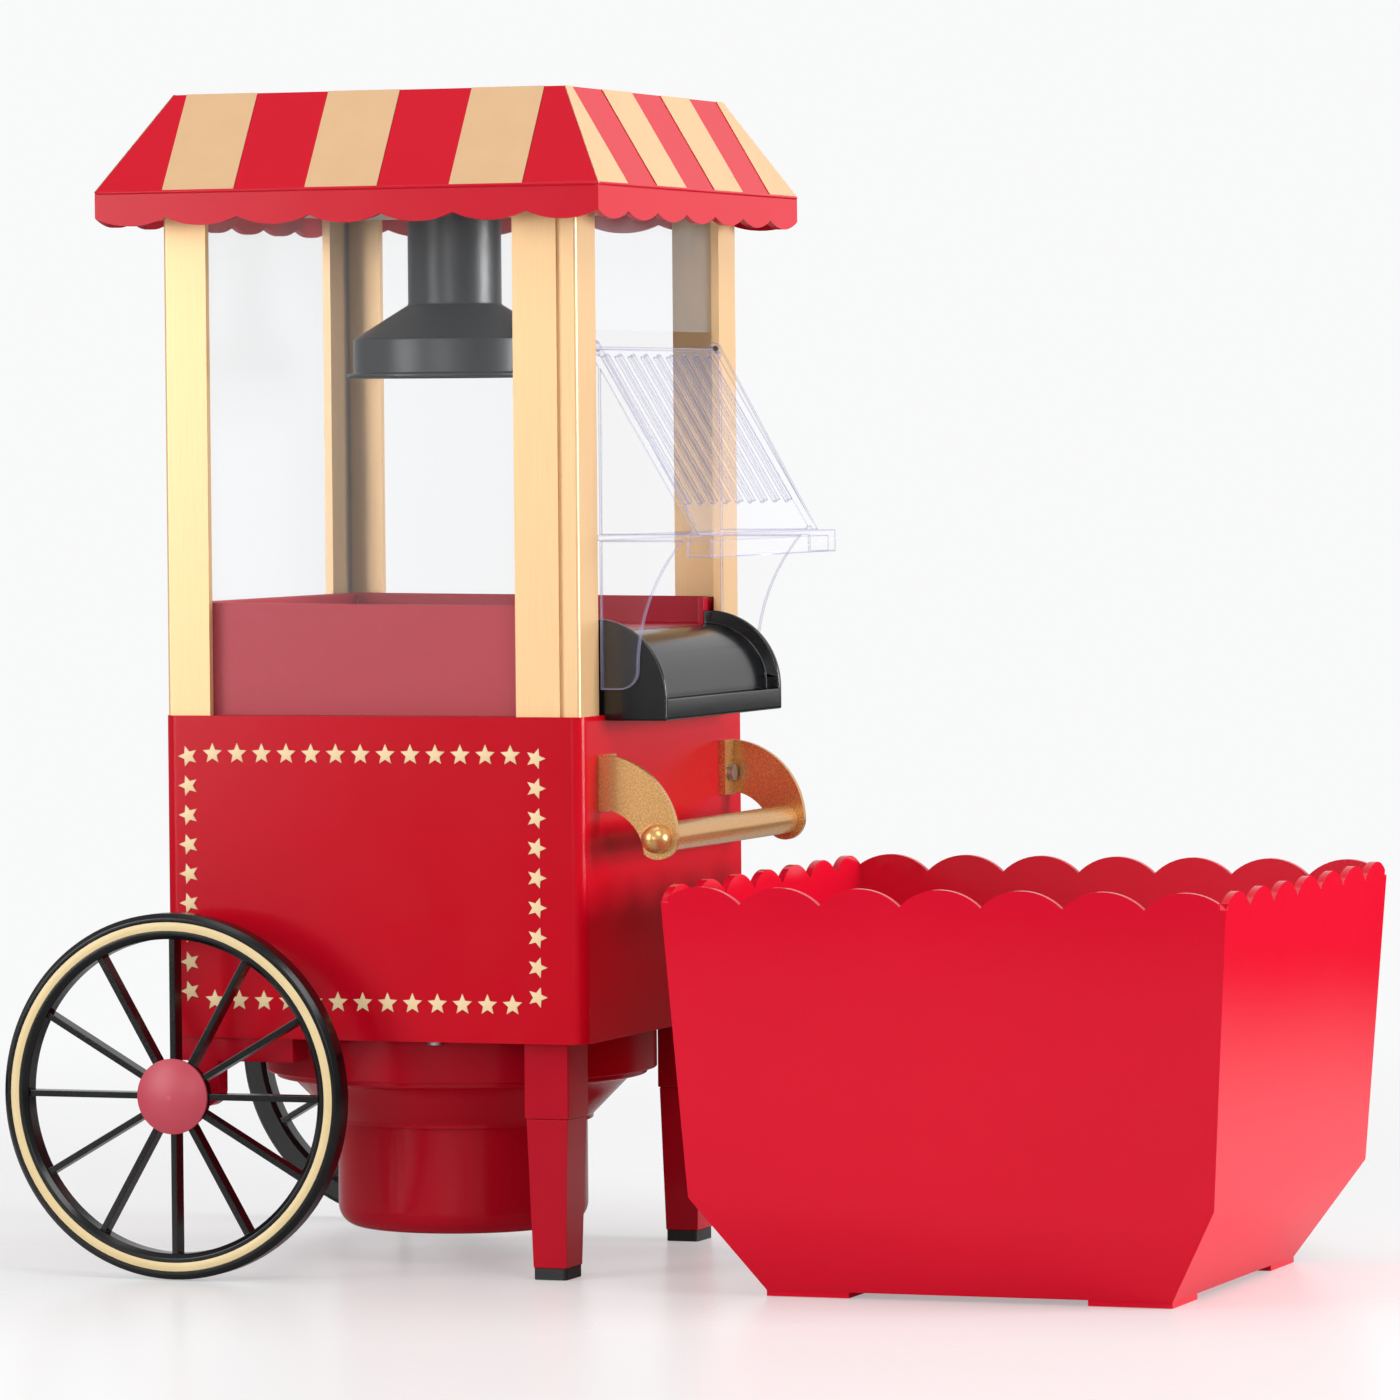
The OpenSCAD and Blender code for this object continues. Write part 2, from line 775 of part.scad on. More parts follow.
module base_floor() {
  color(red) maker() difference() {
    translate([0, 0, box_lift])
      rounded_block(box_w - 2 * box_wall, box_d - 2 * box_wall, floor_plate_t, box_corner_r - box_wall);
    translate([0, 0, box_lift - over]) cylinder(r = chamber_r + 8, h = floor_plate_t + 2 * over);
    screw_places() translate([0, 0, -over]) cylinder(r = 1.5, h = floor_plate_t + 2 * over);
  }
}

module screw_places() {
  for (sx = [-1, 1], sy = [-1, 1])
    translate([sx * (box_w / 2 - screw_in_x), sy * (box_d / 2 - screw_in_y), box_lift]) children();
}

module floor_screws() {
  color(steel) maker() screw_places() {
    cylinder(r = 1.5, h = floor_plate_t);
    translate([0, 0, -1.6]) cylinder(r = 3, h = 1.6);
  }
}

function star_points(r) = [for (i = [0 : 9])
  let (ring = i % 2 == 0 ? r : r * 0.45) [ring * sin(36 * i), ring * cos(36 * i)]];

// One star lying on the left side panel, turned by a number of degrees
module panel_star(y, z, turn) {
  translate([-box_w / 2, y, box_lift + stars_mid + z])
    rotate([90, 0, -90]) rotate(turn) linear_extrude(paint_t) polygon(star_points(star_r));
}

module panel_stars() {
  step_y = stars_w / (stars_across - 1);
  step_z = stars_h / (stars_down - 1);
  for (i = [1 : stars_across - 2]) {
    y = stars_shift - stars_w / 2 + i * step_y;
    panel_star(y, stars_h / 2 + 1, 0);
    panel_star(y, -stars_h / 2 - 3, 0);
  }
  for (i = [0 : stars_down - 1]) {
    z = -stars_h / 2 + i * step_z;
    panel_star(stars_shift - stars_w / 2, z, -90);
    panel_star(stars_shift + stars_w / 2, z, 90);
  }
}

module star_border() {
  color(cream) maker() both_sides() panel_stars();
}

// ---------------------------------------------------------------- blower

module blower_housing() {
  drum_low = box_lift - drum_h;
  cone_low = cup_top;
  inner = cup_r + 0.2;
  // Small step under the drum, which clears the axle behind it
  step = 3.5;
  color(red) maker() difference() {
    rotate_extrude() polygon([
      [chamber_r + 8.3, box_lift], [drum_r, box_lift], [drum_r, drum_low], [drum_r - step, drum_low],
      [drum_r - step, drum_low - 2], [drum_r - 10, drum_low - 3.5], [inner + 2, cone_low],
      [inner + 2, cone_low - collar_h], [inner, cone_low - collar_h], [inner, cone_low],
      [drum_r - 13, drum_low - 1.5], [drum_r - housing_wall - 2, drum_low + 1.5],
      [drum_r - housing_wall - 2, box_lift - 2.5], [chamber_r + 8.3, box_lift - 2.5]
    ]);
  }
}

module motor_cup() {
  vents = 16;
  color(red) maker() difference() {
    translate([0, 0, cup_bottom]) rounded_cup(cup_r, cup_top - cup_bottom, cup_edge_r);
    translate([0, 0, cup_bottom + housing_wall])
      rounded_cup(cup_r - housing_wall, cup_top - cup_bottom, cup_edge_r - housing_wall);
    // Air inlet slots in the underside
    for (i = [0 : vents - 1]) rotate(i * 360 / vents)
      translate([cup_r * 0.42, -1.6, cup_bottom - over]) cube([cup_r * 0.36, 3.2, housing_wall + 2 * over]);
  }
}

// A solid cylinder whose lower edge is rounded
module rounded_cup(r, h, edge) {
  rotate_extrude() {
    translate([0, edge]) square([r, h - edge]);
    square([r - edge, edge + over]);
    intersection() {
      translate([r - edge, edge]) circle(edge);
      square([r, edge + over]);
    }
  }
}

module popping_chamber() {
  vents = 24;
  color(steel) maker() translate([0, 0, chamber_bottom]) difference() {
    union() {
      cylinder(r = chamber_r, h = chamber_h);
      translate([0, 0, chamber_h]) cylinder(r = chamber_r + 5, h = chamber_wall);
    }
    translate([0, 0, chamber_wall]) cylinder(r = chamber_r - chamber_wall, h = chamber_h + over);
    for (i = [0 : vents - 1]) rotate(i * 360 / vents)
      translate([chamber_r - 14, -0.9, -over]) cube([10, 1.8, chamber_wall + 2 * over]);
  }
}

module heater_duct() {
  low = box_lift;
  color(steel) maker() difference() {
    translate([0, 0, low]) cylinder(r = chamber_r - 1, h = chamber_bottom - low);
    translate([0, 0, low - over]) cylinder(r = chamber_r - 2, h = chamber_bottom - low + 2 * over);
  }
  color(steel) maker() difference() {
    translate([0, 0, low]) cylinder(r = chamber_r + 8, h = 1.2);
    translate([0, 0, low - over]) cylinder(r = chamber_r - 1, h = 1.2 + 2 * over);
  }
}

module heater_core() {
  h = chamber_bottom - box_lift - 8;
  span = 2 * (chamber_r - 2.2);
  color("#d8cfb8") maker() translate([0, 0, box_lift + 4]) for (turn = [0, 90])
    rotate(turn) difference() {
      block(span, 1, h);
      for (row = [0 : 2], sx = [-1, 1])
        translate([sx * coil_r, 0, (row + 0.5) * h / 3]) rotate([90, 0, 0])
          cylinder(r = coil_wire_r + 0.1, h = 4, center = true, $fn = 24);
    }
}

module heater_coil() {
  h = chamber_bottom - box_lift - 8;
  color("#8d8378") maker() for (row = [0 : 2])
    translate([0, 0, box_lift + 4 + (row + 0.5) * h / 3])
      rotate_extrude() translate([coil_r, 0]) circle(coil_wire_r, $fn = 24);
}

module thermostat() {
  color(steel) maker() translate([chamber_r - 0.4, 0, chamber_bottom + 24]) {
    rod_x(8, 0.4, 6);
    rod_x(3, 6, 12);
  }
}

module fan_impeller() {
  hub = 8;
  color(black) maker() translate([0, 0, fan_z]) difference() {
    union() {
      cylinder(r = fan_r, h = 1.8);
      cylinder(r = hub, h = fan_h);
      for (i = [0 : fan_blades - 1]) rotate(i * 360 / fan_blades)
        translate([hub - 1, 0, 0]) rotate(28) translate([0, -0.8, 0])
          cube([(fan_r - hub) * 0.95, 1.6, fan_h]);
    }
    translate([0, 0, -over]) cylinder(r = shaft_r, h = fan_h + 2 * over);
  }
}

module motor_shaft() {
  low = mount_z - motor_h / 2;
  color(steel) maker() translate([0, 0, low]) cylinder(r = shaft_r, h = fan_z + fan_h - low);
}

module motor() {
  color(steel) maker() difference() {
    translate([0, 0, mount_z - motor_h]) cylinder(r = motor_r, h = motor_h);
    translate([0, 0, mount_z - motor_h / 2 - over]) cylinder(r = shaft_r + axle_gap, h = motor_h);
  }
}

module motor_mount() {
  ring = cup_r - housing_wall - 0.1;
  color(black) maker() translate([0, 0, mount_z]) difference() {
    union() {
      difference() {
        cylinder(r = ring, h = 3);
        translate([0, 0, -over]) cylinder(r = ring - 5, h = 3 + 2 * over);
      }
      cylinder(r = motor_r, h = 3);
      for (turn = [0, 60, 120]) rotate(turn) block(2 * ring - 4, 7, 3);
    }
    translate([0, 0, -over]) cylinder(r = shaft_r + 1, h = 3 + 2 * over);
  }
}

// ---------------------------------------------------------------- legs, axle and wheels

module leg_places() {
  for (side = [-1, 1]) translate([side * leg_x, -leg_y, 0]) children();
}

module leg_sockets() {
  color(red) maker() leg_places() difference() {
    translate([0, 0, box_lift - socket_h]) block(leg_side_w, leg_w, socket_h);
    translate([0, 0, box_lift - socket_h - over])
      block(leg_side_w - 4, leg_w - 4, socket_h - 3 + over);
  }
}

module leg(side) {
  low = foot_h;
  shoulder = box_lift - socket_h;
  color(red) maker() translate([side * leg_x, -leg_y, 0]) {
    translate([0, 0, low])
      frustum(leg_foot_side_w, leg_foot_w, leg_side_w - 1, leg_w - 1, shoulder - low);
    translate([0, 0, shoulder]) block(leg_side_w - 4, leg_w - 4, socket_h - 3);
  }
}

module leg_left() {
  leg(-1);
}

module leg_right() {
  leg(1);
}

module rubber_feet() {
  color(black) maker() leg_places() rounded_block(leg_foot_side_w, leg_foot_w, foot_h, 1.5);
}

module axle_bracket() {
  low = box_lift - bracket_h;
  color(red) maker() difference() {
    union() {
      translate([-bracket_x, box_d / 2 - 2 - bracket_l, low]) cube([bracket_w, bracket_l, bracket_h]);
      along_x(-bracket_x, lug_t - bracket_x) {
        translate([axle_y, wheel_r]) circle(lug_r);
        translate([axle_y - lug_r, wheel_r]) square([2 * lug_r, low - wheel_r]);
      }
      translate([0, axle_y, wheel_r]) rod_x(sleeve_r, sleeve_gap - rim_in, -bracket_x);
    }
    translate([0, axle_y, wheel_r]) rod_x(axle_r, -box_w, 0);
  }
}

module axle_bracket_left() {
  axle_bracket();
}

module axle_bracket_right() {
  flip_x() axle_bracket();
}

module axle() {
  color(steel) maker() both_sides()
    translate([0, axle_y, wheel_r]) rod_x(axle_r, 4 - rim_out, lug_t - bracket_x);
}

// Turns x = 0 into the wheel's inner face, at the wheel's own centre, on the left side
module wheel_place() {
  maker() translate([-rim_in, axle_y, wheel_r]) rotate([0, -90, 0]) children();
}

// Outline of the rim's section, with a groove for the gold stripe
module rim_section() {
  edge = 1.6;
  outer = wheel_r;
  inner = wheel_r - rim_w;
  groove_in = ring_r - ring_w / 2;
  groove_out = ring_r + ring_w / 2;
  polygon([
    [inner, edge], [inner + edge, 0], [outer - edge, 0], [outer, edge],
    [outer, rim_t - edge], [outer - edge, rim_t], [groove_out, rim_t], [groove_out, rim_t - 0.8],
    [groove_in, rim_t - 0.8], [groove_in, rim_t], [inner + edge, rim_t], [inner, rim_t - edge]
  ]);
}

module wheel() {
  color(black) wheel_place() difference() {
    union() {
      rotate_extrude($fn = 144) rim_section();
      for (i = [0 : spokes - 1]) rotate(i * 360 / spokes)
        translate([hub_r - 1, -spoke_t / 2, rim_t / 2 - 1 - spoke_depth / 2])
          cube([wheel_r - rim_w - hub_r + 2, spoke_t, spoke_depth]);
      translate([0, 0, 0.5]) cylinder(r = hub_r, h = hub_seat - 0.5);
    }
    translate([0, 0, -over]) cylinder(r = axle_r + axle_gap, h = rim_t + 2 * over);
  }
}

module wheel_left() {
  wheel();
}

module wheel_right() {
  flip_x() wheel();
}

module wheel_ring() {
  color(cream) wheel_place() translate([0, 0, rim_t - 0.8]) difference() {
    cylinder(r = ring_r + ring_w / 2, h = 0.8, $fn = 144);
    translate([0, 0, -over]) cylinder(r = ring_r - ring_w / 2, h = 0.8 + 2 * over, $fn = 144);
  }
}

module wheel_ring_left() {
  wheel_ring();
}

module wheel_ring_right() {
  flip_x() wheel_ring();
}

module hub_cap() {
  dome_r = arc_r(2 * hub_cap_r, hub_cap_h - 1);
  color(red) wheel_place() translate([0, 0, hub_seat]) difference() {
    union() {
      cylinder(r = hub_cap_r, h = 1);
      intersection() {
        translate([0, 0, hub_cap_h - dome_r]) sphere(dome_r);
        translate([0, 0, 1]) cylinder(r = hub_cap_r, h = hub_cap_h);
      }
    }
    // Pocket over the axle's end
    translate([0, 0, -over]) cylinder(r = axle_r + 0.5, h = 1.5 + over);
  }
}

module hub_cap_left() {
  hub_cap();
}

module hub_cap_right() {
  flip_x() hub_cap();
}

// ---------------------------------------------------------------- handle

module arm_outline() {
  face = -box_d / 2;
  centre_z = bar_z + arm_rise - arm_r;
  end_r = arm_r - bar_reach;
  difference() {
    union() {
      intersection() {
        translate([face, centre_z]) circle(arm_r);
        translate([face - arm_r, centre_z]) square([arm_r, arm_r]);
      }
      translate([face - bar_reach, bar_z]) circle(end_r);
    }
    translate([face, flange_low + 1 - arm_inner_r]) circle(arm_inner_r);
  }
}

module handle_arm() {
  face = -box_d / 2;
  outer = arm_span / 2;
  color(gold) maker() difference() {
    union() {
      along_x(-outer, -outer + arm_t) arm_outline();
      translate([-outer, face - arm_t, flange_low]) cube([flange_w, arm_t, flange_h]);
    }
    translate([-outer + flange_w / 2 + 1, face + over, flange_low + flange_h * 0.4]) rotate([90, 0, 0])
      cylinder(r = 1.5, h = arm_t + 2 * over);
    translate([0, face - bar_reach, bar_z]) rod_x(2, -outer - over, -outer + arm_t + over);
  }
}

module handle_arm_left() {
  handle_arm();
}

module handle_arm_right() {
  flip_x() handle_arm();
}

module handle_bar() {
  inner = arm_span / 2 - arm_t;
  color(gold) maker() translate([0, -box_d / 2 - bar_reach, bar_z]) {
    rod_x(bar_r, -inner, inner);
    rod_x(2, -inner - arm_t, inner + arm_t);
  }
}

module handle_nuts() {
  color(gold) maker() both_sides() translate([-arm_span / 2, -box_d / 2 - bar_reach, bar_z]) {
    rod_x(bar_r, -1.5, 0);
    intersection() {
      translate([-1.5, 0, 0]) sphere(bar_r);
      rod_x(bar_r, -2 * bar_r, -1.5);
    }
  }
}

module handle_screws() {
  face = -box_d / 2;
  color(steel) maker() both_sides()
    translate([-arm_span / 2 + flange_w / 2 + 1, face - arm_t, flange_low + flange_h * 0.4])
      rotate([90, 0, 0]) {
        translate([0, 0, -arm_t]) cylinder(r = 1.5, h = arm_t);
        cylinder(r = 3, h = 2);
      }
}

// ---------------------------------------------------------------- rear fittings

module switch_frame() {
  rim = 2;
  color(black) maker() rear_fitting(-30) difference() {
    union() {
      translate([-switch_w / 2 - rim, 0, -switch_h / 2 - rim])
        cube([switch_w + 2 * rim, 1.5, switch_h + 2 * rim]);
      translate([-switch_w / 2, -10, -switch_h / 2]) cube([switch_w, 10, switch_h]);
    }
    translate([-switch_w / 2 + 1.2, -8, -switch_h / 2 + 1.2])
      cube([switch_w - 2.4, 10, switch_h - 2.4]);
  }
}

module rocker() {
  half = switch_h / 2 - 2.4;
  color(black) maker() rear_fitting(-30) translate([0, -2.5, 0])
    along_x(-switch_w / 2 + 1.6, switch_w / 2 - 1.6)
      polygon([[-2, -half], [2.6, -half], [3.6, 0], [5, half - 0.6], [-2, half - 0.6]]);
}

module cord_gland() {
  color(black) maker() rear_fitting(30) rotate([-90, 0, 0]) difference() {
    union() {
      translate([0, 0, -box_wall - 4]) cylinder(r = gland_r, h = box_wall + 4);
      cylinder(r = gland_r + 2, h = 2);
      cylinder(r1 = gland_r, r2 = gland_r - 1.2, h = 9);
    }
    translate([0, 0, -box_wall - 4 - over]) cylinder(r = 3.2, h = 20 + over);
  }
}

// ---------------------------------------------------------------- serving bowl

// Side view of the bowl, shrunk by the wall where it is the inside
module side_profile(half, shrink, top) {
  rim_z = bowl_h + bowl_scallop;
  slope = bowl_draft / (rim_z - bevel_h);
  rim = half - shrink + (top - rim_z) * slope;
  bevel = half - shrink - bowl_draft;
  foot = bevel - bevel_run;
  polygon([
    [-foot, pad_h + shrink], [foot, pad_h + shrink], [bevel, bevel_h + shrink / 2],
    [rim, top], [-rim, top], [-bevel, bevel_h + shrink / 2]
  ]);
}

module bowl_form(shrink, top) {
  intersection() {
    along_y(-bowl_d, bowl_d) side_profile(bowl_w / 2, shrink, top);
    along_x(-bowl_w, bowl_w) side_profile(bowl_d / 2, shrink, top);
  }
}

// Everything above the scalloped line, along a wall that runs in x
module scallop_cut(length) {
  difference() {
    translate([-length, 0]) square([2 * length, 4 * bowl_scallop]);
    scallop_row(length, scallops, bowl_scallop, 0.01);
  }
}

module serving_bowl() {
  top = bowl_h + bowl_scallop;
  // How far the wall leans in over the height of the scallops
  lean = bowl_draft * bowl_scallop / (top - bevel_h);
  inner_w = bowl_w / 2 - bowl_wall - lean - 0.05;
  inner_d = bowl_d / 2 - bowl_wall - lean - 0.05;
  foot_w = bowl_w / 2 - bowl_draft - bevel_run;
  foot_d = bowl_d / 2 - bowl_draft - bevel_run;
  color(red) maker() translate([-bowl_left, -bowl_front, 0]) {
    difference() {
      bowl_form(0, top);
      bowl_form(bowl_wall, top + over);
      for (side = [0, 1]) {
        mirror([0, side, 0]) translate([0, 0, bowl_h])
          along_y(inner_d, bowl_d / 2 + over) scallop_cut(bowl_w);
        mirror([side, 0, 0]) translate([0, 0, bowl_h])
          along_x(inner_w, bowl_w / 2 + over) scallop_cut(bowl_d);
      }
    }
    // Pads at the four corners, with a shallow gap between them
    for (sx = [-1, 1], sy = [-1, 1])
      translate([sx * (foot_w - pad_w / 2), sy * (foot_d - pad_w / 2), 0])
        block(pad_w, pad_w, pad_h);
  }
}

roof_canopy();
roof_stripes();
roof_liner();
filler_funnel();
filler_hood();
measuring_cap();
window_left();
window_right();
window_rear();
window_front();
post_front_left();
post_front_right();
post_rear_left();
post_rear_right();
front_hood();
chute();
inner_deck();
base_box();
base_floor();
star_border();
blower_housing();
motor_cup();
popping_chamber();
heater_duct();
heater_core();
heater_coil();
thermostat();
fan_impeller();
motor_shaft();
motor();
motor_mount();
leg_sockets();
leg_left();
leg_right();
rubber_feet();
axle_bracket_left();
axle_bracket_right();
axle();
wheel_left();
wheel_right();
wheel_ring_left();
wheel_ring_right();
hub_cap_left();
hub_cap_right();
handle_arm_left();
handle_arm_right();
handle_bar();
handle_nuts();
handle_screws();
floor_screws();
switch_frame();
rocker();
cord_gland();
serving_bowl();
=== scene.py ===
# %% [markdown]
# # A cart style popcorn maker and its serving bowl
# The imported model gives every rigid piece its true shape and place. This lesson
# dresses it: moulded edges, finishes, small trim, and a plain studio round it.
# Everything is in metres, +Z is up, and the front of the cart faces -Y.

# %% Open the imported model
import math

import bmesh
import bpy
from mathutils import Matrix, Vector


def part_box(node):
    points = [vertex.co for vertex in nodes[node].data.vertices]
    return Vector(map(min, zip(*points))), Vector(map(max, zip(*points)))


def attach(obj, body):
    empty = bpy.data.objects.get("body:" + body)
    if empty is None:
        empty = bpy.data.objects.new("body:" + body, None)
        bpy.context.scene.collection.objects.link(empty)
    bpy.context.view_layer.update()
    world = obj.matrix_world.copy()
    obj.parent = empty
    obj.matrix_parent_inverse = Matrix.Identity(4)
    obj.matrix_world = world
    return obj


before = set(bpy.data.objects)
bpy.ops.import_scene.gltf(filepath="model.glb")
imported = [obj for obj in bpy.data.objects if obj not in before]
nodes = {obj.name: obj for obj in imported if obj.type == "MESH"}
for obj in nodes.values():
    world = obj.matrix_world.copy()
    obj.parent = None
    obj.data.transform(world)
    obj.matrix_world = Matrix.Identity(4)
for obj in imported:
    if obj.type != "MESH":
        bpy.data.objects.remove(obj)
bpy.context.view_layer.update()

# %% [markdown]
# ## Writing shader maths as ordinary maths
# Blender's finishes are small networks of nodes. Wiring them by hand is hard to
# read, so one class wraps a socket and lets + - * and ** add the Math nodes. Colours
# never go through Math nodes, because those turn a colour grey.


# %% A socket that takes part in sums
class Signal:
    def __init__(self, network, socket):
        self.network = network
        self.socket = socket

    def maths(self, operation, first, second, clamp=False):
        settings = {"operation": operation, "use_clamp": clamp}
        return self.network.node("ShaderNodeMath", settings, {0: first, 1: second})

    def __add__(self, other):
        return self.maths("ADD", self, other)

    __radd__ = __add__

    def __sub__(self, other):
        return self.maths("SUBTRACT", self, other)

    def __rsub__(self, other):
        return self.maths("SUBTRACT", other, self)

    def __mul__(self, other):
        return self.maths("MULTIPLY", self, other)

    __rmul__ = __mul__

    def __pow__(self, other):
        return self.maths("POWER", self, other)

    def clamped(self):
        return self.maths("ADD", self, 0.0, clamp=True)


# %% A network of nodes, for a material or for the world
class Network:
    def __init__(self, tree):
        self.tree = tree

    def node(self, kind, settings=None, inputs=None, output=0):
        """Add a node of a kind, with its settings and what feeds its sockets."""
        made = self.tree.nodes.new(kind)
        for key, value in (settings or {}).items():
            setattr(made, key, value)
        for key, value in (inputs or {}).items():
            self.feed(made.inputs[key], value)
        return Signal(self, made.outputs[output])

    def feed(self, socket, value):
        if isinstance(value, Signal):
            self.tree.links.new(value.socket, socket)
        else:
            socket.default_value = value

    def ray(self, kind):
        """1 for rays of this kind and 0 for the others."""
        return self.node("ShaderNodeLightPath", output=f"Is {kind} Ray")

    def steps(self, value, low, high):
        """A soft step from 0 at the low value to 1 at the high one."""
        settings = {"interpolation_type": "SMOOTHSTEP"}
        inputs = {"Value": value, "From Min": low, "From Max": high}
        return self.node("ShaderNodeMapRange", settings, inputs)

    def along(self, vector, direction):
        """How far a vector points in one direction."""
        settings = {"operation": "DOT_PRODUCT"}
        inputs = {0: vector, 1: direction}
        return self.node("ShaderNodeVectorMath", settings, inputs, output="Value")


# %% A finish: one shader and the nodes that feed it
class Finish(Network):
    def __init__(self, name, **constants):
        self.material = bpy.data.materials.new(name)
        self.material.use_nodes = True
        super().__init__(self.material.node_tree)
        self.shader = self.tree.nodes["Principled BSDF"]
        for socket, value in constants.items():
            self.shader.inputs[socket.replace("_", " ")].default_value = value

    def set(self, socket, value):
        self.feed(self.shader.inputs[socket], value)

    def place(self):
        return self.node("ShaderNodeTexCoord", output="Object")

    def noise(self, scale, detail, roughness=0.5, stretch=(1, 1, 1)):
        where = self.node("ShaderNodeMapping", {}, {"Vector": self.place(), "Scale": stretch})
        inputs = {"Vector": where, "Scale": scale, "Detail": detail, "Roughness": roughness}
        return self.node("ShaderNodeTexNoise", {}, inputs, output="Fac")

    def blend(self, factor, first, second):
        inputs = {0: factor, 6: first, 7: second}
        return self.node("ShaderNodeMix", {"data_type": "RGBA"}, inputs, output=2)

    def bump(self, height, strength, distance):
        inputs = {"Height": height, "Strength": strength, "Distance": distance}
        self.set("Normal", self.node("ShaderNodeBump", {}, inputs))


def colour(code):
    """A screen colour such as #cc3344 as the linear values that Blender wants."""
    parts = [int(code[i : i + 2], 16) / 255 for i in (1, 3, 5)]
    linear = [c / 12.92 if c <= 0.04045 else ((c + 0.055) / 1.055) ** 2.4 for c in parts]
    return (*linear, 1.0)


# %% [markdown]
# ## Moulded plastic
# Most of the cart is glossy moulded plastic. Up close such a surface isn't a
# mirror: it has a faint orange peel, and it scuffs unevenly, so roughness wanders.
# One recipe makes all of them, with the colour, gloss and grain as arguments.


# %% The recipe for moulded plastic
PEEL_DEPTH = 0.0004  # metres between the grain's hills and valleys
SCUFF_RANGE = 0.12  # how far scuffs make the roughness wander


def moulded(name, tone, dark, gloss, grain=0.04, grain_size=900, shine=0.5):
    made = Finish(name, IOR=1.5, Specular_IOR_Level=shine)
    clouds = made.noise(scale=14, detail=3)
    made.set("Base Color", made.blend(clouds, colour(dark), colour(tone)))
    scuff = made.noise(scale=60, detail=5, roughness=0.65)
    roughness = scuff * SCUFF_RANGE + (gloss - SCUFF_RANGE / 2)
    made.set("Roughness", roughness.clamped())
    made.bump(made.noise(grain_size, detail=2), grain, PEEL_DEPTH)
    return made.material


red_enamel = moulded("red box", "#c0081f", "#b5061b", 0.19, shine=0.16)
red_gloss = moulded("red roof", "#c80f27", "#bf0c24", 0.21, shine=0.2)
red_leg = moulded("red legs", "#b80e24", "#aa0b20", 0.20, shine=0.15)
red_bowl = moulded("red bowl", "#d60c2b", "#cc0927", 0.13, shine=0.22)
red_deck = moulded("red deck", "#b3142e", "#a81028", 0.32, 0.05, 1500, shine=0.25)
hub_red = moulded("hub cap", "#bb4050", "#b23848", 0.42, 0.12, 1400)
black_gloss = moulded("black gloss", "#0f1012", "#0b0c0e", 0.17, 0.03)
black_wheel = moulded("black wheel", "#0a0b0c", "#08090a", 0.2, 0.05, shine=0.35)
black_satin = moulded("black satin", "#1c2024", "#15181c", 0.36, 0.1)
rubber = moulded("rubber feet", "#141517", "#101113", 0.62, 0.3, 1600)
liner_white = moulded("liner", "#d8d2c8", "#d0cac0", 0.5, 0.1)
print("moulded finishes ready")

# %% [markdown]
# ## Paint, gold and metal
# The stripes and stars are printed, so they are a little matt and slightly
# uneven. The posts are a pale gold: a metallic lacquer with very fine upright
# lines. The handle is a deeper gold with a soft sheen.


# %% Print, lacquer and metal recipes
BRUSH_DEPTH = 0.0003  # metres
SATIN_RANGE = 0.14  # how far print and metal vary in roughness


def printed(name, tone, dark, gloss=0.42):
    made = Finish(name, IOR=1.45)
    patches = made.noise(scale=90, detail=4)
    made.set("Base Color", made.blend(patches, colour(dark), colour(tone)))
    satin = made.noise(scale=500, detail=3)
    made.set("Roughness", satin * SATIN_RANGE + (gloss - SATIN_RANGE / 2))
    made.bump(made.noise(scale=2600, detail=2), 0.12, BRUSH_DEPTH)
    return made.material


def lacquered(name, tone, dark, gloss, metal, stretch, strength=0.15):
    made = Finish(name, Metallic=metal, IOR=1.5)
    lines = made.noise(1800, 3, 0.6, stretch)
    made.set("Base Color", made.blend(lines, colour(dark), colour(tone)))
    made.set("Roughness", lines * SATIN_RANGE + (gloss - SATIN_RANGE / 2))
    made.bump(lines, strength, BRUSH_DEPTH)
    return made.material


# How a lacquer's fine lines are drawn out: the small number is along the lines
UPRIGHT = (1, 1, 0.02)
ALONG_X = (0.02, 1, 1)
EVEN = (1, 1, 1)


stripe_paint = printed("stripe print", "#d6b086", "#cda67b")
star_paint = printed("star print", "#ecd2a6", "#e2c698", 0.38)
ring_paint = printed("wheel ring print", "#e4cfa0", "#d6bc86", 0.34)
post_gold = lacquered("post gold", "#ebc592", "#dfb582", 0.34, 0.35, UPRIGHT, 0.06)
handle_gold = lacquered("handle gold", "#d6a66b", "#cc9a5e", 0.27, 0.7, ALONG_X, 0.04)
steel = lacquered("zinc steel", "#b9bcc0", "#a2a6ab", 0.34, 0.95, (1, 1, 0.1))
chamber_metal = lacquered("spun aluminium", "#c6c8ca", "#adb0b3", 0.32, 0.95, UPRIGHT)
heater_wire = lacquered("heater wire", "#8a7f78", "#6d635d", 0.5, 0.9, EVEN)
mica = printed("mica board", "#b5a585", "#9d8d6d", 0.6)
print("painted and metal finishes ready")

# %% [markdown]
# ## Clear plastic
# The windows are thin sheets that one hardly sees. A real refracting solid would
# keep lamp light out of the cabinet, so a sheet is mostly see-through and gets
# more reflective where it is seen at a shallow angle. The hood is a thicker
# moulding whose edges gather light, so they show as faint violet lines. A Bevel
# node finds them: near an edge its rounded normal leaves the face's own normal.


# %% Window sheet and thick moulding
RIPPLE = 0.02  # strength of the slow waves in clear plastic
RIPPLE_DEPTH = 0.001  # metres


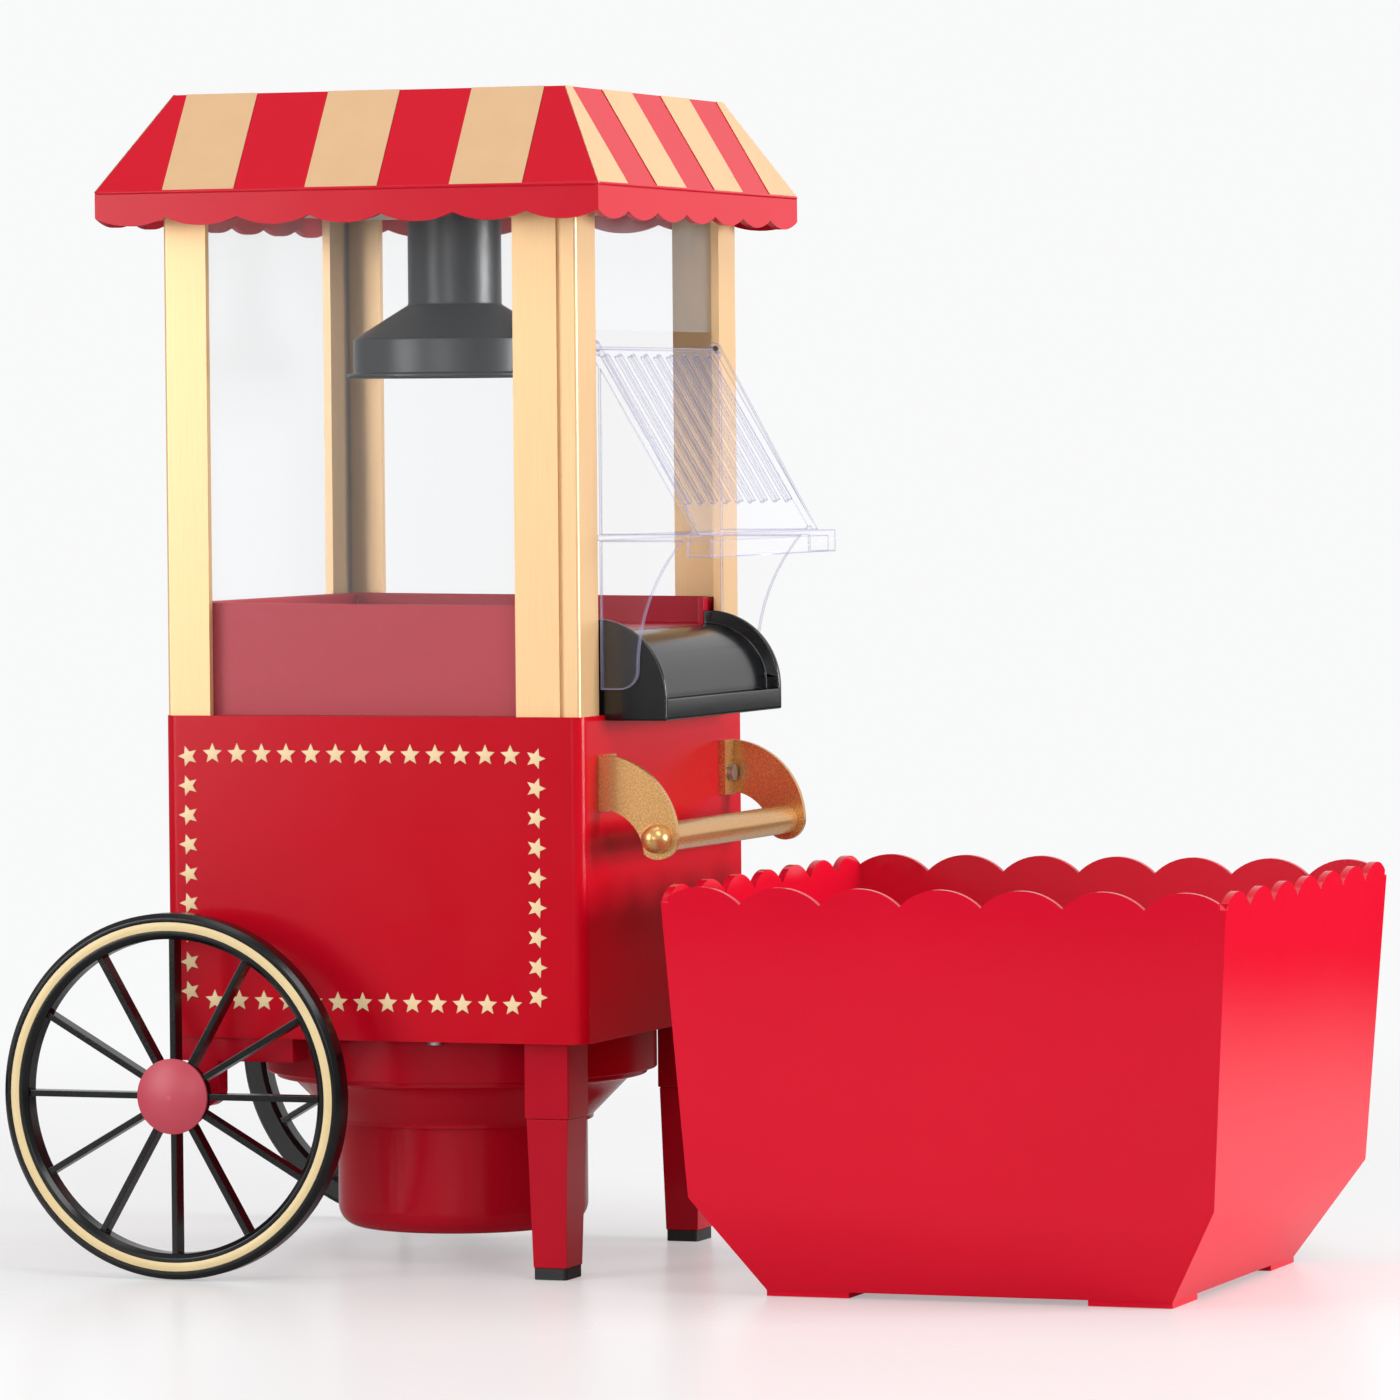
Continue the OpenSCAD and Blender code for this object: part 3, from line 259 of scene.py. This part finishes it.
def window_sheet(name, tone, least, most):
    """Least and most are its opacity seen face on and at a grazing angle."""
    made = Finish(name, Roughness=0.06, IOR=1.45)
    made.set("Base Color", colour(tone))
    facing = made.node("ShaderNodeLayerWeight", {}, {"Blend": 0.35}, output="Facing")
    made.set("Alpha", facing**3 * (most - least) + least)
    made.bump(made.noise(scale=30, detail=2), RIPPLE, RIPPLE_DEPTH)
    return made.material


def clear_moulding(name, tone, edge_tone, least=0.02, grazing=0.26, at_edge=0.6):
    """Its opacity is the least, and grows at grazing angles and along edges."""
    made = Finish(name, Roughness=0.05, IOR=1.49)
    rounded = made.node("ShaderNodeBevel", {"samples": 6}, {"Radius": 0.0014})
    flat = made.node("ShaderNodeNewGeometry", output="Normal")
    edge = made.steps(1 - made.along(rounded, flat), 0.01, 0.2)
    facing = made.node("ShaderNodeLayerWeight", {}, {"Blend": 0.4}, output="Facing")
    made.set("Base Color", made.blend(edge, colour(tone), colour(edge_tone)))
    made.set("Alpha", (edge * at_edge + facing**3 * grazing + least).clamped())
    made.bump(made.noise(scale=60, detail=2), RIPPLE, RIPPLE_DEPTH)
    return made.material


pane = window_sheet("window sheet", "#dfe6ea", 0.035, 0.35)
clear_thick = clear_moulding("clear moulding", "#e6e8f4", "#8f8dbd")
print("clear finishes ready")

# %% [markdown]
# ## Edges
# No moulded or bent piece has a knife edge, and it is the small round edge that
# catches the light. A Weld modifier joins the corners that the file stores
# apart, a Bevel rounds them, and a Weighted Normal keeps the flat faces flat.


# %% Give pieces their finish and a rounded edge
MILLIMETRE = 0.001
SAME_CORNER = 2e-6  # metres within which two corners are one
FLAT_FACE_WEIGHT = 80


def smoother():
    """A tiny geometry network that shades every face smooth."""
    tree = bpy.data.node_groups.new("shade smooth", "GeometryNodeTree")
    tree.interface.new_socket("Geometry", in_out="INPUT", socket_type="NodeSocketGeometry")
    tree.interface.new_socket("Geometry", in_out="OUTPUT", socket_type="NodeSocketGeometry")
    first = tree.nodes.new("NodeGroupInput")
    smooth = tree.nodes.new("GeometryNodeSetShadeSmooth")
    last = tree.nodes.new("NodeGroupOutput")
    tree.links.new(first.outputs[0], smooth.inputs[0])
    tree.links.new(smooth.outputs[0], last.inputs[0])
    return tree


SMOOTH = smoother()


def round_edges(piece, width, steps, angle):
    weld = piece.modifiers.new("weld", "WELD")
    weld.merge_threshold = SAME_CORNER
    if width:
        bevel = piece.modifiers.new("edges", "BEVEL")
        bevel.width = width * MILLIMETRE
        bevel.segments = steps
        bevel.limit_method = "ANGLE"
        bevel.angle_limit = math.radians(angle)
        bevel.miter_outer = "MITER_ARC"
    shade = piece.modifiers.new("smooth", "NODES")
    shade.node_group = SMOOTH
    normals = piece.modifiers.new("normals", "WEIGHTED_NORMAL")
    normals.mode = "FACE_AREA_WITH_ANGLE"
    normals.weight = FLAT_FACE_WEIGHT


def dress(finish, names, width=0.4, steps=3, angle=35):
    """Width is the rounding in millimetres, angle the least that counts as an edge."""
    for name in names.split():
        piece = nodes[name]
        for slot in piece.material_slots:
            slot.material = finish
        round_edges(piece, width, steps, angle)
    print(finish.name, "on", names)


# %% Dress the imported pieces
dress(red_gloss, "roof_canopy", 0.9, 4, 20)
dress(stripe_paint, "roof_stripes", 0)
dress(liner_white, "roof_liner", 0.3)
dress(black_satin, "filler_funnel filler_hood", 0.5)
dress(clear_thick, "measuring_cap", 0.4)
dress(pane, "window_left window_right window_rear window_front", 0)
dress(post_gold, "post_front_left post_front_right post_rear_left post_rear_right", 0.4)
dress(clear_thick, "front_hood", 0.35, 2)
dress(black_gloss, "chute", 0.6)
dress(red_deck, "inner_deck", 0.6)
dress(red_enamel, "base_box", 1.0, 4)
dress(black_satin, "base_floor heater_duct fan_impeller motor_mount", 0.2, 2)
dress(black_satin, "switch_frame cord_gland", 0.2, 2)
dress(star_paint, "star_border", 0)
dress(red_leg, "blower_housing motor_cup leg_sockets leg_left leg_right", 0.5)
dress(rubber, "rubber_feet", 0.6)
dress(chamber_metal, "popping_chamber", 0.2, 2)
dress(mica, "heater_core", 0)
dress(heater_wire, "heater_coil", 0)
dress(steel, "thermostat motor_shaft motor axle", 0.2, 2)
dress(red_leg, "axle_bracket_left axle_bracket_right", 0.3, 2)
dress(steel, "handle_screws floor_screws", 0.15, 2)
dress(black_wheel, "wheel_left wheel_right rocker", 0.5)
dress(ring_paint, "wheel_ring_left wheel_ring_right", 0)
dress(hub_red, "hub_cap_left hub_cap_right", 0.5)
dress(handle_gold, "handle_arm_left handle_arm_right handle_bar handle_nuts", 0.4)
dress(red_bowl, "serving_bowl", 0.9, 4)

# %% [markdown]
# ## The roof's edge
# Where the slopes meet the scalloped valance, the mould leaves a narrow raised
# rim. It is what catches a thin bright line all round the roof. A swept ring of
# eight-sided sections gives that line with few faces.


# %% Sweep a thin closed ring round a rectangle with round corners
def corner_path(half_x, half_y, radius, height, steps=6):
    path = []
    quarters = ((1, 1), (-1, 1), (-1, -1), (1, -1))
    for turn, (side_x, side_y) in enumerate(quarters):
        for step in range(steps + 1):
            angle = (turn + step / steps) * math.pi / 2
            x = side_x * (half_x - radius) + radius * math.cos(angle)
            y = side_y * (half_y - radius) + radius * math.sin(angle)
            path.append(Vector((x, y, height)))
    return path


def swept_ring(name, path, half_w, half_h, middle, sides=8):
    mesh = bmesh.new()
    rings = []
    for i, point in enumerate(path):
        along = (path[(i + 1) % len(path)] - path[i - 1]).normalized()
        out = along.cross(Vector((0, 0, 1)))
        ring = []
        for k in range(sides):
            angle = (k + 0.5) * math.tau / sides
            place = point + out * half_w * math.cos(angle)
            place.z += half_h * math.sin(angle)
            ring.append(mesh.verts.new(place + middle))
        rings.append(ring)
    for i, ring in enumerate(rings):
        after = rings[(i + 1) % len(rings)]
        for k in range(sides):
            turn = (k + 1) % sides
            mesh.faces.new((ring[k], after[k], after[turn], ring[turn]))
    bmesh.ops.recalc_face_normals(mesh, faces=mesh.faces)
    data = bpy.data.meshes.new(name)
    mesh.to_mesh(data)
    mesh.free()
    for face in data.polygons:
        face.use_smooth = True
    piece = bpy.data.objects.new(name, data)
    bpy.context.scene.collection.objects.link(piece)
    return piece


# %% Lay the rim where the roof's slopes end
RIM_INSET = 0.0004  # the rim's middle lies this far inside the roof's outline
RIM_CORNER = 0.0015
RIM_HALF_WIDTH = 0.0011
RIM_HALF_HEIGHT = 0.0007

roof_low, roof_high = (Vector(corner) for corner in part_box("roof_canopy"))
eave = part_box("roof_stripes")[0][2]
middle = (roof_low + roof_high) / 2
middle.z = 0
half = (roof_high - roof_low) / 2
rim_path = corner_path(half.x - RIM_INSET, half.y - RIM_INSET, RIM_CORNER, eave)
roof_rim = swept_ring("roof_rim", rim_path, RIM_HALF_WIDTH, RIM_HALF_HEIGHT, middle)
roof_rim.data.materials.append(red_gloss)
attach(roof_rim, "roof")
print("roof rim:", len(roof_rim.data.polygons), "faces at", round(eave, 4))

# %% [markdown]
# ## The studio
# White surroundings suit glossy red plastic, but only where they should show. Near
# the cart the floor is a real glossy surface that takes the shadows. Further out
# it fades into plain white, so that no horizon shows from any side. The world is
# white where one looks at it, and dimmer as a source of light. In reflections it
# is brighter on the cart's left and right than at its front and rear.

# %% Floor
WHITE = (0.985, 0.988, 0.995, 1)
SHOWN = 0.96  # how bright the white surroundings look
FILL = 0.42  # how much light they give
FLOOR_DROP = 0.0002  # metres that the floor lies under the feet, so nothing flickers
NEAR_GLOW = 0.38  # how much of the floor near the cart glows by itself


def seen_directly(network):
    return (network.ray("Camera") + network.ray("Transmission")).clamped()


def studio_floor(side=6.0, fade_start=0.3, fade_end=1.1):
    mesh = bpy.data.meshes.new("floor")
    corners = [(-side, -side), (side, -side), (side, side), (-side, side)]
    mesh.from_pydata([(x, y, -FLOOR_DROP) for x, y in corners], [], [(0, 1, 2, 3)])
    floor = bpy.data.objects.new("floor", mesh)
    bpy.context.scene.collection.objects.link(floor)
    paint = Finish("studio floor", IOR=1.4, Specular_IOR_Level=0.35)
    paint.set("Base Color", (0.93, 0.93, 0.932, 1))
    paint.set("Roughness", paint.noise(scale=3, detail=2) * 0.05 + 0.25)
    direct = seen_directly(paint)
    length = {"operation": "LENGTH"}
    radius = paint.node("ShaderNodeVectorMath", length, {0: paint.place()}, "Value")
    # in the cart's own reflections the floor is dim near it and brighter far out
    mirrored = paint.steps(radius, 1.5, 5.5) * 0.6 + 0.06
    glossy = paint.ray("Glossy")
    given = glossy * (mirrored - 1) * FILL + FILL
    strength = direct * (SHOWN - given) + given
    glow = paint.node("ShaderNodeEmission", {}, {"Color": WHITE, "Strength": strength})
    share = paint.steps(radius, fade_start, fade_end) * (1 - NEAR_GLOW) + NEAR_GLOW
    surface = Signal(paint, paint.shader.outputs[0])
    mixed = paint.node("ShaderNodeMixShader", {}, {0: share, 1: surface, 2: glow})
    paint.feed(paint.tree.nodes["Material Output"].inputs["Surface"], mixed)
    mesh.materials.append(paint.material)


# %% World
TO_RIGHT = (0.95, -0.3, 0.1)
TO_LEFT = (-0.95, 0.3, 0.1)
GLINT = 0.55  # how much brighter reflections are towards either side
GLINT_BASE = 0.25  # and how bright they are everywhere


def white_world():
    world = bpy.data.worlds.new("studio")
    bpy.context.scene.world = world
    world.use_nodes = True
    sky = Network(world.node_tree)
    direction = sky.node("ShaderNodeTexCoord", output="Generated")
    right = sky.steps(sky.along(direction, TO_RIGHT), -0.1, 0.75)
    left = sky.steps(sky.along(direction, TO_LEFT), -0.1, 0.6)
    mirrored = right * GLINT + left * GLINT + GLINT_BASE
    glossy = sky.ray("Glossy")
    lighting = glossy * mirrored + (1 - glossy) * FILL
    direct = seen_directly(sky)
    background = world.node_tree.nodes["Background"]
    sky.feed(background.inputs["Color"], WHITE)
    sky.feed(background.inputs["Strength"], direct * SHOWN + (1 - direct) * lighting)


studio_floor()
white_world()
print("floor and white surroundings ready")


# %% Lamps
def soft_lamp(name, place, aim, size, watts):
    lamp = bpy.data.lights.new(name, "AREA")
    lamp.shape = "RECTANGLE"
    lamp.size, lamp.size_y = size
    lamp.energy = watts
    holder = bpy.data.objects.new(name, lamp)
    bpy.context.scene.collection.objects.link(holder)
    holder.location = place
    beam = Vector(aim) - Vector(place)
    holder.rotation_euler = beam.to_track_quat("-Z", "Y").to_euler()
    holder.visible_camera = False


soft_lamp("side softbox", (-1.5, 1.2, 0.6), (0, 0.1, 0.2), (0.8, 1.1), 17)
soft_lamp("key softbox", (-1.1, -1.2, 1.7), (0, 0, 0.2), (0.9, 0.9), 14)
soft_lamp("front softbox", (0.4, -2.2, 0.45), (0, 0, 0.15), (0.9, 0.7), 52)
soft_lamp("low softbox", (-1.7, -0.1, 0.36), (0.1, 0.1, 0.3), (0.6, 0.3), 3.5)
soft_lamp("top softbox", (0.1, 0.1, 2.0), (0, 0, 0.2), (1.2, 1.2), 10)
print("lamps placed")

# %% [markdown]
# ## The camera
# A long lens from the cart's left front, a little above the table, keeps the
# upright edges nearly parallel.


# %% Camera
def look(place, right, up, forward, lens):
    camera = bpy.data.cameras.new("camera")
    camera.lens = lens
    camera.sensor_width = 36
    camera.clip_end = 30
    holder = bpy.data.objects.new("camera", camera)
    bpy.context.scene.collection.objects.link(holder)
    axes = Matrix((right, up, [-f for f in forward])).transposed().to_4x4()
    holder.matrix_world = Matrix.Translation(place) @ axes
    bpy.context.scene.camera = holder


look(
    place=(-2.597822, -0.947103, 0.299588),
    right=(0.342654, -0.939422, -0.008572),
    up=(0.035904, 0.003977, 0.999347),
    forward=(0.938775, 0.342738, -0.035092),
    lens=198.46,
)
bpy.context.scene.view_settings.view_transform = "Standard"
print("camera placed")
